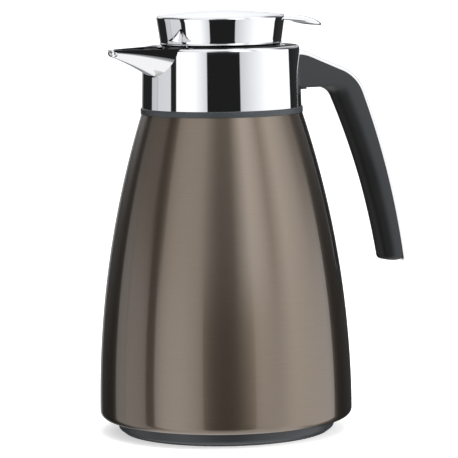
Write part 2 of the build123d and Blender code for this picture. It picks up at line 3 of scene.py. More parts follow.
import bmesh
import bpy
from mathutils import Matrix, Vector
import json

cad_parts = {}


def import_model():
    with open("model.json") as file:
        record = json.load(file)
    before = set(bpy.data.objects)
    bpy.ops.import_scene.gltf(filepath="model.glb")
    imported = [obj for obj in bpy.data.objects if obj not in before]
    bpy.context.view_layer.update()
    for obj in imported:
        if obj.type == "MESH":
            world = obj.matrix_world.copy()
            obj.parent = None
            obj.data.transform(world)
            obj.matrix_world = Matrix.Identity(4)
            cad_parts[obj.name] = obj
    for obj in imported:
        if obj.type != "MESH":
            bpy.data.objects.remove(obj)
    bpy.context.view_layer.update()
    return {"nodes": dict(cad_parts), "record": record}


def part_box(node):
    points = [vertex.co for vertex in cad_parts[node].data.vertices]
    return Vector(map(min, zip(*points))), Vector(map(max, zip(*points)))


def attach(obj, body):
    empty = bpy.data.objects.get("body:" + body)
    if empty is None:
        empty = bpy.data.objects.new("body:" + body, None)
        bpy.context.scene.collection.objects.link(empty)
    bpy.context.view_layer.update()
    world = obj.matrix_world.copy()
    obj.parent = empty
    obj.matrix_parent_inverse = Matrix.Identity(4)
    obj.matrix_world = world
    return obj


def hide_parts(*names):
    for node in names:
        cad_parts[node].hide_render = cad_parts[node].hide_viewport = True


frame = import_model()

# The vacuum jug's visible skin. Lengths are in millimetres until mesh_object() turns them into
# metres. The frame is the CAD's: +Z up the body's axis, +X to the handle and -X to the spout.
MM = 0.001


def node_top(node):
    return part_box(node)[1].z / MM


def node_bottom(node):
    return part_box(node)[0].z / MM


def node_reach(node):
    """Largest X of a node: the radius of a turned one."""
    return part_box(node)[1].x / MM


# ---------------------------------------------------------------- driving dimensions
BODY_R = node_reach("outer_shell")
SHELL_TOP_Z = node_top("outer_shell")
SHELL_BOTTOM_Z = node_bottom("outer_shell")
WIDEST_Z = 13.0
BODY_ARC_R = 585.0
SHELL_T = 0.8
SHELL_HOLE_R = 67.0
LIP_ROUND = WIDEST_Z - SHELL_BOTTOM_Z

RING_R = node_reach("neck_ring")
RING_TOP_Z = node_top("neck_ring")
BASE_R = 65.0
BASE_CLEAR_Z = node_bottom("base_cap")

COLLAR_BOTTOM_R = 47.7
COLLAR_TOP_R = 46.7
COLLAR_TOP_Z = 231.0
COLLAR_T = 1.6
COLLAR_ROUND = 1.8
LEDGE_R = 38.0

SPOUT_TIP = 75.4
SPOUT_T = 1.5
SPOUT_WIDE = 22.0
SPOUT_WIDE_AT = 41.0
SPOUT_ROOT = 36.5
TIP_HALF_WIDTH = 3.0
KEEL_AT_COLLAR_Z = 213.6
KEEL_SLOPE = 0.60
KEEL_EASE = 0.004
ROUND_SHARE = 0.8

LID_BOTTOM_R = 36.1
LID_TOP_R = 38.4
LID_BOTTOM_Z = 232.4
LID_TOP_Z = 249.3
LID_T = 1.6
DOME_RISE = 2.7
COVER_R = 36.4
COVER_T = 1.4
FLANGE_Z = node_bottom("lid_shell")

PIVOT_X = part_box("lever_pin")[0].x / MM + 1.5
PIVOT_Z = node_top("lever_pin") - 1.5
LEVER_HALF_W = 8.5
SLOT_HALF_W = LEVER_HALF_W + 0.4
LID_SLOT_Z = 243.4
LEVER_TIP_X = node_reach("lever")

GRIP_HALF_W = 9.5
SPINE_T = 2.0
ARM_SLOPE = radians(21.8)
BEND_R = 27.0
BEND_CORNER = (91.2, 211.0)
BACK_SLOPE = radians(22.5)
BACK_ARC_R = 450.0
GRIP_BOTTOM_Z = node_bottom("handle_grip")
ARM_BOTTOM_Z = 203.8
INNER_BEND_X = 75.6
INNER_BEND_R = 12.0
INNER_ARC_R = 430.0
HANDLE_ROOT_X = 45.6

SEGMENTS = 256
NEAR_AXIS = 0.01  # radius that a turned disc starts from


# ---------------------------------------------------------------- mesh helpers
def mesh_object(name, verts, faces, sharp_deg=35):
    """Mesh object from millimetre coordinates, smooth except across edges sharper than sharp_deg."""
    mesh = bpy.data.meshes.new(name)
    mesh.from_pydata([Vector(v) * MM for v in verts], [], faces)
    tidy_mesh(mesh, sharp_deg)
    obj = bpy.data.objects.new(name, mesh)
    bpy.context.scene.collection.objects.link(obj)
    return obj


def tidy_mesh(mesh, sharp_deg):
    bm = bmesh.new()
    bm.from_mesh(mesh)
    bmesh.ops.remove_doubles(bm, verts=bm.verts, dist=1e-6)
    bmesh.ops.recalc_face_normals(bm, faces=bm.faces)
    bm.to_mesh(mesh)
    bm.free()
    mesh.shade_smooth()
    mesh.set_sharp_from_angle(angle=radians(sharp_deg))


def points_between(a, b, steps):
    """Points (r, z) along a straight line, both ends included."""
    return [(a[0] + (b[0] - a[0]) * k / steps, a[1] + (b[1] - a[1]) * k / steps) for k in range(steps + 1)]


def arc(centre, radius, start_deg, end_deg, steps):
    """Points (r, z) along a circular arc."""
    turn = [radians(start_deg + (end_deg - start_deg) * k / steps) for k in range(steps + 1)]
    return [(centre[0] + radius * cos(a), centre[1] + radius * sin(a)) for a in turn]


def lathe(name, profile, segments=SEGMENTS, sharp_deg=35):
    """Closed (r, z) profile turned round the Z axis."""
    verts = []
    for k in range(segments):
        a = 2 * pi * k / segments
        verts += [(r * cos(a), r * sin(a), z) for r, z in profile]
    n = len(profile)
    faces = []
    for k in range(segments):
        a, b = k * n, (k + 1) % segments * n
        faces += [(a + i, b + i, b + (i + 1) % n, a + (i + 1) % n) for i in range(n)]
    return mesh_object(name, verts, faces, sharp_deg)


def loft(name, sections, sharp_deg=35):
    """Closed skin through sections that each have the same number of points."""
    n = len(sections[0])
    verts = [p for section in sections for p in section]
    faces = []
    for k in range(len(sections) - 1):
        a, b = k * n, (k + 1) * n
        faces += [(a + i, a + (i + 1) % n, b + (i + 1) % n, b + i) for i in range(n)]
    last = (len(sections) - 1) * n
    faces.append(tuple(range(n)))
    faces.append(tuple(last + i for i in range(n)))
    return mesh_object(name, verts, faces, sharp_deg)


def box_object(name, low, high):
    x, y, z = zip(low, high)
    verts = [(x[i], y[j], z[k]) for i in (0, 1) for j in (0, 1) for k in (0, 1)]
    faces = [(0, 1, 3, 2), (4, 6, 7, 5), (0, 4, 5, 1), (2, 3, 7, 6), (0, 2, 6, 4), (1, 5, 7, 3)]
    return mesh_object(name, verts, faces)


def combine(obj, other, operation, sharp_deg=35):
    """Boolean of obj with other, which is used up."""
    boolean = obj.modifiers.new("combine", "BOOLEAN")
    boolean.operation = operation
    boolean.solver = "EXACT"
    boolean.object = other
    settled = bpy.data.meshes.new_from_object(obj.evaluated_get(bpy.context.evaluated_depsgraph_get()))
    obj.modifiers.clear()
    obj.data = settled
    bpy.data.objects.remove(other)
    tidy_mesh(obj.data, sharp_deg)
    return obj


def join(obj, other):
    """Adds other's mesh to obj's as a further closed shell."""
    bm = bmesh.new()
    bm.from_mesh(obj.data)
    bm.from_mesh(other.data)
    bm.to_mesh(obj.data)
    bm.free()
    bpy.data.objects.remove(other)
    return obj


def finish_piece(obj, body, slot, *nodes):
    """Body, record slot with its material, and replaced CAD nodes of a finished piece."""
    obj.data.materials.clear()
    obj.data.materials.append(MATERIALS[slot])
    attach(obj, body)
    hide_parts(*nodes)
    return obj


# ---------------------------------------------------------------- material helpers
class Nodes:
    """Short way to write a material's node tree."""

    def __init__(self, name):
        self.material = bpy.data.materials.new(name)
        self.material.use_nodes = True
        self.tree = self.material.node_tree
        self.shader = self.tree.nodes["Principled BSDF"]
        self.place = self.add("ShaderNodeTexCoord").outputs["Object"]

    def add(self, kind, **settings):
        node = self.tree.nodes.new(kind)
        for key, value in settings.items():
            setattr(node, key, value)
        return node

    def link(self, source, target):
        self.tree.links.new(source, target)

    def set(self, **values):
        """Constant values on the shader, by socket name with _ for a space."""
        for key, value in values.items():
            self.shader.inputs[key.replace("_", " ")].default_value = value

    def noise(self, scale, stretch=(1, 1, 1), detail=4.0, vector=None):
        """Noise whose scale is in cycles per metre, stretched by the three factors."""
        mapping = self.add("ShaderNodeMapping")
        mapping.inputs["Scale"].default_value = stretch
        self.link(vector or self.place, mapping.inputs["Vector"])
        noise = self.add("ShaderNodeTexNoise")
        noise.inputs["Scale"].default_value = scale
        noise.inputs["Detail"].default_value = detail
        self.link(mapping.outputs["Vector"], noise.inputs["Vector"])
        return noise.outputs["Fac"]

    def spread(self, value, low, high, from_low=0.3, from_high=0.7):
        """value's from_low to from_high range mapped to low to high."""
        node = self.add("ShaderNodeMapRange")
        node.inputs["From Min"].default_value = from_low
        node.inputs["From Max"].default_value = from_high
        node.inputs["To Min"].default_value = low
        node.inputs["To Max"].default_value = high
        self.link(value, node.inputs["Value"])
        return node.outputs["Result"]

    def blend(self, factor, colour_a, colour_b):
        """Colour between two constants."""
        ramp = self.add("ShaderNodeValToRGB")
        ramp.color_ramp.elements[0].color = (*colour_a, 1)
        ramp.color_ramp.elements[1].color = (*colour_b, 1)
        self.link(factor, ramp.inputs["Fac"])
        return ramp.outputs["Color"]

    def bump(self, height, strength, distance):
        """Bump whose distance is in metres."""
        node = self.add("ShaderNodeBump")
        node.inputs["Strength"].default_value = strength
        node.inputs["Distance"].default_value = distance
        self.link(height, node.inputs["Height"])
        self.link(node.outputs["Normal"], self.shader.inputs["Normal"])


def lacquered_bronze():
    """Clear lacquer over tinted steel that is brushed round the body."""
    n = Nodes("lacquered_bronze")
    n.set(Metallic=1.0, Anisotropic=0.9, Anisotropic_Rotation=0.25)
    n.set(Coat_Weight=1.0, Coat_Roughness=0.015, Coat_IOR=1.5)
    tangent = n.add("ShaderNodeTangent", direction_type="RADIAL", axis="Z")
    n.link(tangent.outputs["Tangent"], n.shader.inputs["Tangent"])
    fine = n.noise(90, (1, 1, 55), 5)
    n.link(n.blend(fine, (0.19, 0.148, 0.110), (0.25, 0.198, 0.150)), n.shader.inputs["Base Color"])
    n.link(n.spread(fine, 0.34, 0.39), n.shader.inputs["Roughness"])
    n.bump(fine, 0.05, 0.00001)
    return n.material


def plated_chrome():
    n = Nodes("plated_chrome")
    n.set(Metallic=1.0)
    cloud = n.noise(35, detail=3)
    n.link(n.blend(cloud, (0.80, 0.80, 0.815), (0.84, 0.84, 0.85)), n.shader.inputs["Base Color"])
    n.link(n.spread(cloud, 0.02, 0.045), n.shader.inputs["Roughness"])
    n.bump(n.noise(9, detail=1), 0.06, 0.0004)
    return n.material


def satin_top():
    """Pale satin metal with fine turning marks."""
    n = Nodes("satin_top")
    n.set(Metallic=1.0)
    radius = n.add("ShaderNodeVectorMath", operation="LENGTH")
    flat = n.add("ShaderNodeMapping")
    flat.inputs["Scale"].default_value = (1, 1, 0)
    n.link(n.place, flat.inputs["Vector"])
    n.link(flat.outputs["Vector"], radius.inputs[0])
    rings = n.noise(2200, vector=radius.outputs["Value"], detail=3)
    n.link(n.blend(rings, (0.79, 0.79, 0.80), (0.86, 0.86, 0.87)), n.shader.inputs["Base Color"])
    n.link(n.spread(rings, 0.28, 0.38), n.shader.inputs["Roughness"])
    n.bump(rings, 0.12, 0.00002)
    return n.material


def moulded(name, dark, light, rough, grain_scale, grain_depth):
    """Moulded plastic with a fine spark-eroded grain and slight unevenness."""
    n = Nodes(name)
    grain = n.noise(grain_scale, detail=2)
    cloud = n.noise(30, detail=3)
    n.link(n.blend(cloud, dark, light), n.shader.inputs["Base Color"])
    n.link(n.spread(cloud, rough - 0.04, rough + 0.05), n.shader.inputs["Roughness"])
    n.bump(grain, 0.5, grain_depth)
    return n.material


def plain_steel():
    n = Nodes("plain_steel")
    n.set(Metallic=1.0)
    marks = n.noise(500, (1, 1, 6), 3)
    n.link(n.blend(marks, (0.50, 0.50, 0.51), (0.62, 0.62, 0.62)), n.shader.inputs["Base Color"])
    n.link(n.spread(marks, 0.18, 0.32), n.shader.inputs["Roughness"])
    return n.material


def flask_glass():
    n = Nodes("flask_glass")
    n.set(Metallic=0.85, IOR=1.5, Coat_Weight=1.0, Coat_Roughness=0.02)
    cloud = n.noise(25, detail=3)
    n.link(n.blend(cloud, (0.70, 0.71, 0.72), (0.80, 0.80, 0.80)), n.shader.inputs["Base Color"])
    n.link(n.spread(cloud, 0.04, 0.09), n.shader.inputs["Roughness"])
    return n.material


# slot: material name, dark and light colour, roughness, grain scale, grain depth in metres
MOULDED = {
    "grey_plastic": ("grey_plastic", (0.030, 0.034, 0.038), (0.040, 0.045, 0.049), 0.40, 2600, 0.00003),
    "black_plastic": ("black_grip", (0.010, 0.011, 0.012), (0.014, 0.015, 0.016), 0.42, 3000, 0.00003),
    "inner_plastic": ("inner_plastic", (0.010, 0.010, 0.011), (0.015, 0.015, 0.016), 0.25, 1500, 0.00001),
    "seal_rubber": ("seal_silicone", (0.52, 0.50, 0.47), (0.60, 0.58, 0.55), 0.45, 1800, 0.00002),
    "foot_rubber": ("foot_rubber", (0.018, 0.018, 0.018), (0.028, 0.028, 0.028), 0.7, 1800, 0.00005),
    "cushion_rubber": ("cushion_rubber", (0.05, 0.05, 0.05), (0.07, 0.07, 0.07), 0.75, 900, 0.0001),
    "pad_ceramic": ("pad_fibre", (0.45, 0.43, 0.40), (0.60, 0.57, 0.53), 0.9, 1200, 0.0002),
}
MATERIALS = {
    "bronze_lacquer": lacquered_bronze(),
    "plated": plated_chrome(),
    "satin_metal": satin_top(),
    "flask_glass": flask_glass(),
    "steel": plain_steel(),
    **{slot: moulded(*look) for slot, look in MOULDED.items()},
}


def dress_cad_nodes():
    """Every CAD node that stays visible takes its slot's finished material."""
    for part in frame["record"]["subparts"]:
        obj = frame["nodes"][part["node"]]
        obj.data.materials.clear()
        obj.data.materials.append(MATERIALS[part["material_slot"]])
        obj.data.shade_smooth()


# ---------------------------------------------------------------- body and base
def body_radius(z, inset=0.0):
    arc_r = BODY_ARC_R - inset
    return BODY_R - BODY_ARC_R + sqrt(arc_r**2 - (z - WIDEST_Z) ** 2)


def body_shell():
    steps = 72
    heights = [SHELL_TOP_Z + (WIDEST_Z - SHELL_TOP_Z) * k / steps for k in range(steps + 1)]
    corner = (BODY_R - LIP_ROUND, WIDEST_Z)
    profile = [(body_radius(z), z) for z in heights]
    profile += arc(corner, LIP_ROUND, 0, -90, 14)[1:]
    profile += arc((SHELL_HOLE_R + SHELL_T / 2, SHELL_BOTTOM_Z + SHELL_T / 2), SHELL_T / 2, 270, 90, 6)
    profile += arc(corner, LIP_ROUND - SHELL_T, -90, 0, 10)
    profile += [(body_radius(z, SHELL_T), z) for z in reversed(heights[::4])][1:]
    obj = lathe("body_shell", profile)
    return finish_piece(obj, "jug", "bronze_lacquer", "outer_shell")


def neck_band():
    edge = 0.5
    bore_r, skirt_in_r, skirt_r = 41, 44, 46.6
    step_z, skirt_z = 189, 183
    profile = [(bore_r, step_z), (skirt_in_r, step_z), (skirt_in_r, skirt_z), (skirt_r, skirt_z)]
    profile += [(skirt_r, SHELL_TOP_Z)]
    profile += arc((RING_R - edge, SHELL_TOP_Z + edge), edge, -90, 0, 5)
    profile += arc((RING_R - edge, RING_TOP_Z - edge), edge, 0, 90, 5)
    profile += [(bore_r, RING_TOP_Z)]
    obj = lathe("neck_band", profile)
    return finish_piece(obj, "jug", "grey_plastic", "neck_ring")


def base():
    """Turn-off base: shallow recess crossed by grip bars, a rib, a groove for the foot ring, a rim."""
    low = BASE_CLEAR_Z
    under_z, inside_z = 3.5, 6.0
    recess_r, recess_z = 24, under_z + 1.2
    rib_in_r, rib_r, rib_z = 53.5, 55.0, low + 0.4
    rim_in_r, rim_round, corner = 62.0, 0.5, 2.6
    flange_z, collar_in_r, collar_r, collar_z = 9.0, 60.5, 63.0, 18.0
    profile = [(NEAR_AXIS, recess_z), (recess_r, recess_z), (recess_r + 1, under_z), (rib_in_r, under_z)]
    profile += [(rib_in_r, rib_z), (rib_r, rib_z), (rib_r, under_z), (rim_in_r, under_z)]
    profile += arc((rim_in_r + rim_round, low + rim_round), rim_round, 180, 270, 4)
    profile += arc((BASE_R - corner, low + corner + 0.6), corner, -80, 0, 8)
    profile += [(BASE_R, flange_z - 0.4), (BASE_R - 0.4, flange_z), (collar_r, flange_z)]
    profile += [(collar_r, collar_z), (collar_in_r, collar_z), (collar_in_r, inside_z)]
    profile += [(NEAR_AXIS, inside_z)]
    obj = lathe("base", profile)
    half_bar, bar_reach = 1.2, 20
    for k in range(3):
        start = (-half_bar, -bar_reach, under_z - 0.9)
        bar = box_object("bar", start, (half_bar, bar_reach, under_z + 2.0))
        bar.data.transform(Matrix.Rotation(pi * k / 3, 4, "Z"))
        obj = combine(obj, bar, "UNION")
    return finish_piece(obj, "jug", "grey_plastic", "base_cap")


# ---------------------------------------------------------------- collar and spout
def spout_keel(x):
    along = x - COLLAR_TOP_R
    return KEEL_AT_COLLAR_Z + along * KEEL_SLOPE - along**2 * KEEL_EASE


def spout_half_width(x):
    taper = (SPOUT_WIDE - TIP_HALF_WIDTH) / (SPOUT_TIP - SPOUT_WIDE_AT)
    return SPOUT_WIDE - (x - SPOUT_WIDE_AT) * taper


def trough_rise(share):
    """Height of the trough's side, from 0 at the keel to 1 at the rim, at a share of its half width."""
    return (1 - ROUND_SHARE) * share**2 + ROUND_SHARE * (1 - sqrt(max(0.0, 1 - share**2)))


def spout_section(x, grow, above):
    """Trough section at distance x from the axis, grown by grow, its flat top raised by above."""
    half = spout_half_width(x) + grow
    keel = spout_keel(x) - grow
    depth = COLLAR_TOP_Z - keel
    steps = 26
    curve = []
    for k in range(-steps, steps + 1):
        share = sin(pi / 2 * k / steps)
        curve.append((-x, half * share, keel + depth * trough_rise(share)))
    top = COLLAR_TOP_Z + above
    return curve + [(-x, half, top), (-x, -half, top)]


def spout_solid(name, x0, x1, grow, above, steps):
    stations = [x0 + (x1 - x0) * k / steps for k in range(steps + 1)]
    return loft(name, [spout_section(x, grow, above) for x in stations])


def pouring_lip():
    """Rounded end of the spout."""
    rings, around = 20, 40
    centre = (-SPOUT_TIP + 3.0, 0, COLLAR_TOP_Z - 1.95)
    size = (3.0, TIP_HALF_WIDTH + 1.3, 2.55)
    sections = []
    for i in range(1, rings):
        a = pi * i / rings
        ring = []
        for k in range(around):
            b = 2 * pi * k / around
            unit = (cos(a), sin(a) * cos(b), sin(a) * sin(b))
            ring.append(tuple(c + s * u for c, s, u in zip(centre, size, unit)))
        sections.append(ring)
    return loft("lip", sections, 80)


def pouring_collar():
    slope = (COLLAR_BOTTOM_R - COLLAR_TOP_R) / (COLLAR_TOP_Z - RING_TOP_Z)
    edge_z = COLLAR_TOP_Z - COLLAR_ROUND
    edge_r = COLLAR_TOP_R + slope * COLLAR_ROUND
    under_z = COLLAR_TOP_Z - COLLAR_T
    steps = 12
    wall = points_between((COLLAR_BOTTOM_R, RING_TOP_Z), (edge_r, edge_z), steps)
    profile = wall + arc((edge_r - COLLAR_ROUND, edge_z), COLLAR_ROUND, 0, 90, 12)[1:]
    profile += arc((LEDGE_R + 0.5, COLLAR_TOP_Z - 0.5), 0.5, 90, 180, 5)
    profile += [(LEDGE_R, under_z), (COLLAR_TOP_R - COLLAR_T, under_z)]
    profile += [(COLLAR_BOTTOM_R - COLLAR_T, RING_TOP_Z)]
    obj = lathe("pouring_collar", profile, 384)
    outer = spout_solid("outer", SPOUT_ROOT, SPOUT_TIP - 1.6, 0, 0.05, 60)
    obj = combine(obj, outer, "UNION")
    obj = combine(obj, pouring_lip(), "UNION")
    trough = spout_solid("trough", SPOUT_ROOT - 4, SPOUT_TIP - 2.4, -SPOUT_T, 3, 60)
    obj = combine(obj, trough, "DIFFERENCE", 30)
    return finish_piece(obj, "jug", "plated", "collar")


# ---------------------------------------------------------------- lid
def lid_ring():
    round_r = 1.6
    foot_r = LID_BOTTOM_R + 0.3
    slope = (LID_TOP_R - LID_BOTTOM_R) / (LID_TOP_Z - LID_BOTTOM_Z)
    edge_z = LID_TOP_Z - round_r
    edge_r = LID_TOP_R - slope * round_r
    seat_z = LID_TOP_Z - COVER_T
    steps = 8
    wall = points_between((LID_BOTTOM_R, LID_BOTTOM_Z + 1.0), (edge_r, edge_z), steps)
    bore_r, flange_t = 25, 1.8
    profile = [(bore_r, FLANGE_Z), (LID_BOTTOM_R - 0.8, FLANGE_Z)]
    profile += arc((foot_r - 0.4, LID_BOTTOM_Z + 0.4), 0.4, -90, 60, 6)
    profile += wall + arc((edge_r - round_r, edge_z), round_r, 8, 90, 9)[1:]
    profile += [(COVER_R + 0.05, LID_TOP_Z), (COVER_R + 0.05, seat_z), (COVER_R - 1.4, seat_z)]
    profile += [(LID_BOTTOM_R - LID_T, FLANGE_Z + flange_t), (bore_r, FLANGE_Z + flange_t)]
    obj = lathe("lid_ring", profile, 320)
    slot = box_object("slot", (27, -SLOT_HALF_W, LID_SLOT_Z), (45, SLOT_HALF_W, LID_TOP_Z + 2))
    obj = combine(obj, slot, "DIFFERENCE")
    notch = box_object("notch", (22, -11.7, FLANGE_Z - 1), (34.4, 11.7, FLANGE_Z + 4))
    obj = combine(obj, notch, "DIFFERENCE")
    return finish_piece(obj, "lid", "plated", "lid_shell")


def dome_z(r):
    ball_r = (COVER_R**2 + DOME_RISE**2) / (2 * DOME_RISE)
    return LID_TOP_Z + DOME_RISE - ball_r + sqrt(ball_r**2 - r**2)


def lid_top():
    edge = 0.35
    steps = 24
    radii = [NEAR_AXIS + (COVER_R - edge - NEAR_AXIS) * k / steps for k in range(steps + 1)]
    profile = [(r, dome_z(r)) for r in radii]
    profile += arc((COVER_R - edge, dome_z(COVER_R) - edge + 0.05), edge, 80, 0, 4)
    profile += [(COVER_R, LID_TOP_Z - COVER_T)]
    profile += [(r, max(LID_TOP_Z - COVER_T, dome_z(r) - COVER_T)) for r in reversed(radii)]
    obj = lathe("lid_top", profile, 320)
    slot = box_object("slot", (PIVOT_X - 2.1, -SLOT_HALF_W, 240), (45, SLOT_HALF_W, 255))
    obj = combine(obj, slot, "DIFFERENCE")
    return finish_piece(obj, "lid", "satin_metal", "lid_cover")


# ---------------------------------------------------------------- lever
def smooth(points, steps):
    """Points along a Catmull-Rom curve through (x, z) points."""
    ends = [points[0], *points, points[-1]]
    made = []
    for k in range(len(points) - 1):
        p = [Vector(q) for q in ends[k : k + 4]]
        for i in range(steps):
            t = i / steps
            linear = (p[2] - p[0]) * t
            square = (2 * p[0] - 5 * p[1] + 4 * p[2] - p[3]) * t**2
            cube = (3 * p[1] - p[0] - 3 * p[2] + p[3]) * t**3
            made.append((2 * p[1] + linear + square + cube) / 2)
    made.append(Vector(points[-1]))
    return made


def height_at(line, x):
    """Height of a line of (x, z) points at x."""
    for a, b in zip(line, line[1:]):
        if a.x <= x <= b.x:
            return a.y + (b.y - a.y) * (x - a.x) / max(b.x - a.x, 1e-9)
    return line[-1].y


def rounded_section(x, z_low, z_high, half, radius, steps=5):
    """Rounded rectangle across Y and Z at x."""
    r = min(radius, (z_high - z_low) / 2 * 0.98, half * 0.98)
    y, high, low = half - r, z_high - r, z_low + r
    corners = [(y, high, 0), (-y, high, 90), (-y, low, 180), (y, low, 270)]
    points = []
    for corner_y, corner_z, start in corners:
        points += [(x, py, pz) for py, pz in arc((corner_y, corner_z), r, start, start + 90, steps)]
    return points


def rod_y(name, x, z, radius, half, around=48):
    """Rod along Y with softened ends."""
    soft = 0.3
    rings = [(-half, radius - soft), (-half + soft, radius), (half - soft, radius), (half, radius - soft)]
    sections = []
    for y, r in rings:
        turn = [2 * pi * k / around for k in range(around)]
        sections.append([(x + r * cos(a), y, z + r * sin(a)) for a in turn])
    return loft(name, sections)


def thumb_lever():
    rear = PIVOT_X - 1.7
    top = [(rear, dome_z(rear)), (38.3, 249.1), (50.7, 247.9), (60.0, 245.7), (LEVER_TIP_X, 242.0)]
    under = [(rear, 245.6), (39.4, 245.5), (53.0, 244.2), (56.5, 242.9), (LEVER_TIP_X, 240.7)]
    top, under = smooth(top, 10), smooth(under, 10)
    sections = []
    straight = LEVER_TIP_X - LEVER_HALF_W
    stations = [rear + (straight - rear) * k / 36 for k in range(37)]
    stations += [straight + LEVER_HALF_W * sin(pi / 2 * k / 16) for k in range(1, 16)]
    for x in stations:
        along = max(0.0, x - straight) / LEVER_HALF_W
        half = LEVER_HALF_W * sqrt(max(0.0, 1 - along**2.4))
        z_high, z_low = height_at(top, x), height_at(under, x)
        pinch = (z_high - z_low) * 0.3 * along**4
        sections.append(rounded_section(x, z_low + pinch, z_high - pinch, half, 1.1))
    obj = loft("thumb_lever", sections)
    web = [
        rounded_section(x, z, 246.4, LEVER_HALF_W - 0.3, 0.8)
        for x, z in ((26.6, PIVOT_Z), (27.6, PIVOT_Z), (30.4, PIVOT_Z), (31.4, 242.0), (32.6, 245.0))
    ]
    obj = join(obj, loft("web", web))
    hub_r, hub_half = 3.0, 8.3
    obj = join(obj, rod_y("hub", PIVOT_X, PIVOT_Z, hub_r, hub_half))
    tine_in, tine_out = 2.8, 6
    for y0, y1 in ((-tine_out, -tine_in), (tine_in, tine_out)):
        tine = box_object("tine", (-3, y0, 236.6), (PIVOT_X - 1, y1, 239.2))
        obj = join(obj, tine)
    return finish_piece(obj, "thumb_lever", "plated", "lever")


# ---------------------------------------------------------------- handle
def line_points(a, b, steps):
    return [Vector(p) for p in points_between(a, b, steps)]


def arc_through(centre, radius, a0, a1, steps):
    return [Vector(p) for p in arc(centre, radius, degrees(a0), degrees(a1), steps)]


ARM_STEPS, BEND_STEPS, GRIP_STEPS = 14, 20, 40


def outer_line(inset, bottom_z):
    """The handle's outer line, inset inwards: arm, bend and grip as one list of (x, z)."""
    corner = Vector(BEND_CORNER)
    arm = Vector((cos(ARM_SLOPE), -sin(ARM_SLOPE)))
    back = Vector((sin(BACK_SLOPE), -cos(BACK_SLOPE)))
    arm_out = Vector((sin(ARM_SLOPE), cos(ARM_SLOPE)))
    back_out = Vector((cos(BACK_SLOPE), sin(BACK_SLOPE)))
    reach = BEND_R * tan((pi / 2 - ARM_SLOPE - BACK_SLOPE) / 2)
    bend_centre = corner - arm * reach - arm_out * BEND_R
    start = corner - arm * reach - arm_out * inset
    root = start - arm * ((start.x - HANDLE_ROOT_X) / arm.x)
    points = line_points(root, start, ARM_STEPS)
    points += arc_through(bend_centre, BEND_R - inset, pi / 2 - ARM_SLOPE, BACK_SLOPE, BEND_STEPS)[1:]
    centre = corner + back * reach - back_out * BACK_ARC_R
    radius = BACK_ARC_R - inset
    last = atan2(bottom_z - centre.y, sqrt(radius**2 - (bottom_z - centre.y) ** 2))
    points += arc_through(centre, radius, BACK_SLOPE, last, GRIP_STEPS)[1:]
    return points


def inner_line(bottom_z):
    """The grip's inner line, with the same number of points as the outer one."""
    slope = BACK_SLOPE + radians(2)
    reach = INNER_BEND_R * tan((pi / 2 - slope) / 2)
    start = Vector((INNER_BEND_X - reach, ARM_BOTTOM_Z))
    end = Vector((INNER_BEND_X + sin(slope) * reach, ARM_BOTTOM_Z - cos(slope) * reach))
    points = line_points(Vector((HANDLE_ROOT_X, ARM_BOTTOM_Z + 0.3)), start, ARM_STEPS)
    centre = (start.x, ARM_BOTTOM_Z - INNER_BEND_R)
    points += arc_through(centre, INNER_BEND_R, pi / 2, slope, BEND_STEPS)[1:]
    low = Vector((111.4, bottom_z + 0.6))
    chord = low - end
    bulge = Vector((-chord.y, chord.x)).normalized() * (chord.length**2 / (8 * INNER_ARC_R))
    for k in range(1, GRIP_STEPS + 1):
        t = k / GRIP_STEPS
        points.append(end + chord * t + bulge * (4 * t * (1 - t)))
    return points


def handle_section(outer, inner, half, outer_r, inner_r, steps=7):
    """Rounded section between an outer and an inner point, half wide each side."""
    depth = (inner - outer).length
    inward = (inner - outer) / depth
    ro = min(outer_r, depth * 0.45)
    ri = min(inner_r, depth * 0.62, half * 0.95)
    side = arc((half - ro, ro), ro, -90, 0, steps) + arc((half - ri, depth - ri), ri, 0, 90, steps)
    loop = side + [(-y, d) for y, d in reversed(side)]
    return [(outer.x + inward.x * d, y, outer.y + inward.y * d) for y, d in loop]


def end_directions(outer, inner):
    """Unit vectors at the handle's lower end: across from outer to inner, and on down the handle."""
    across = (inner - outer).normalized()
    down = Vector((across.y, -across.x))
    return across, down if down.y < 0 else -down


def rounded_end(outer, inner, half, outer_r, inner_r, radius, steps=7):
    """Sections that close the handle's lower end with a rounded edge."""
    across, down = end_directions(outer, inner)
    made = []
    for k in range(1, steps + 1):
        a = pi / 2 * k / steps
        inset = radius * (1 - cos(a))
        drop = down * radius * sin(a)
        ends = (outer + across * inset + drop, inner - across * inset + drop)
        made.append(handle_section(*ends, half - inset, outer_r, inner_r))
    return made


def grip():
    end_r = 3.6
    outer = outer_line(SPINE_T, GRIP_BOTTOM_Z + end_r)
    inner = inner_line(GRIP_BOTTOM_Z + end_r)
    arm_round, grip_round, back_round = 3.0, 8.0, 0.6
    sections = []
    for k, (o, i) in enumerate(zip(outer, inner)):
        share = min(1.0, max(0.0, (k - ARM_STEPS / 2) / BEND_STEPS))
        inner_r = arm_round + (grip_round - arm_round) * share
        sections.append(handle_section(o, i, GRIP_HALF_W, back_round, inner_r))
    sections += rounded_end(outer[-1], inner[-1], GRIP_HALF_W, back_round, grip_round, end_r)
    obj = loft("grip", sections)
    lug = box_object("lug", (50.0, -7.5, ARM_BOTTOM_Z - 0.7), (55.0, 7.5, ARM_BOTTOM_Z + 1.5))
    obj = combine(obj, lug, "UNION")
    return finish_piece(obj, "jug", "black_plastic", "handle_grip")


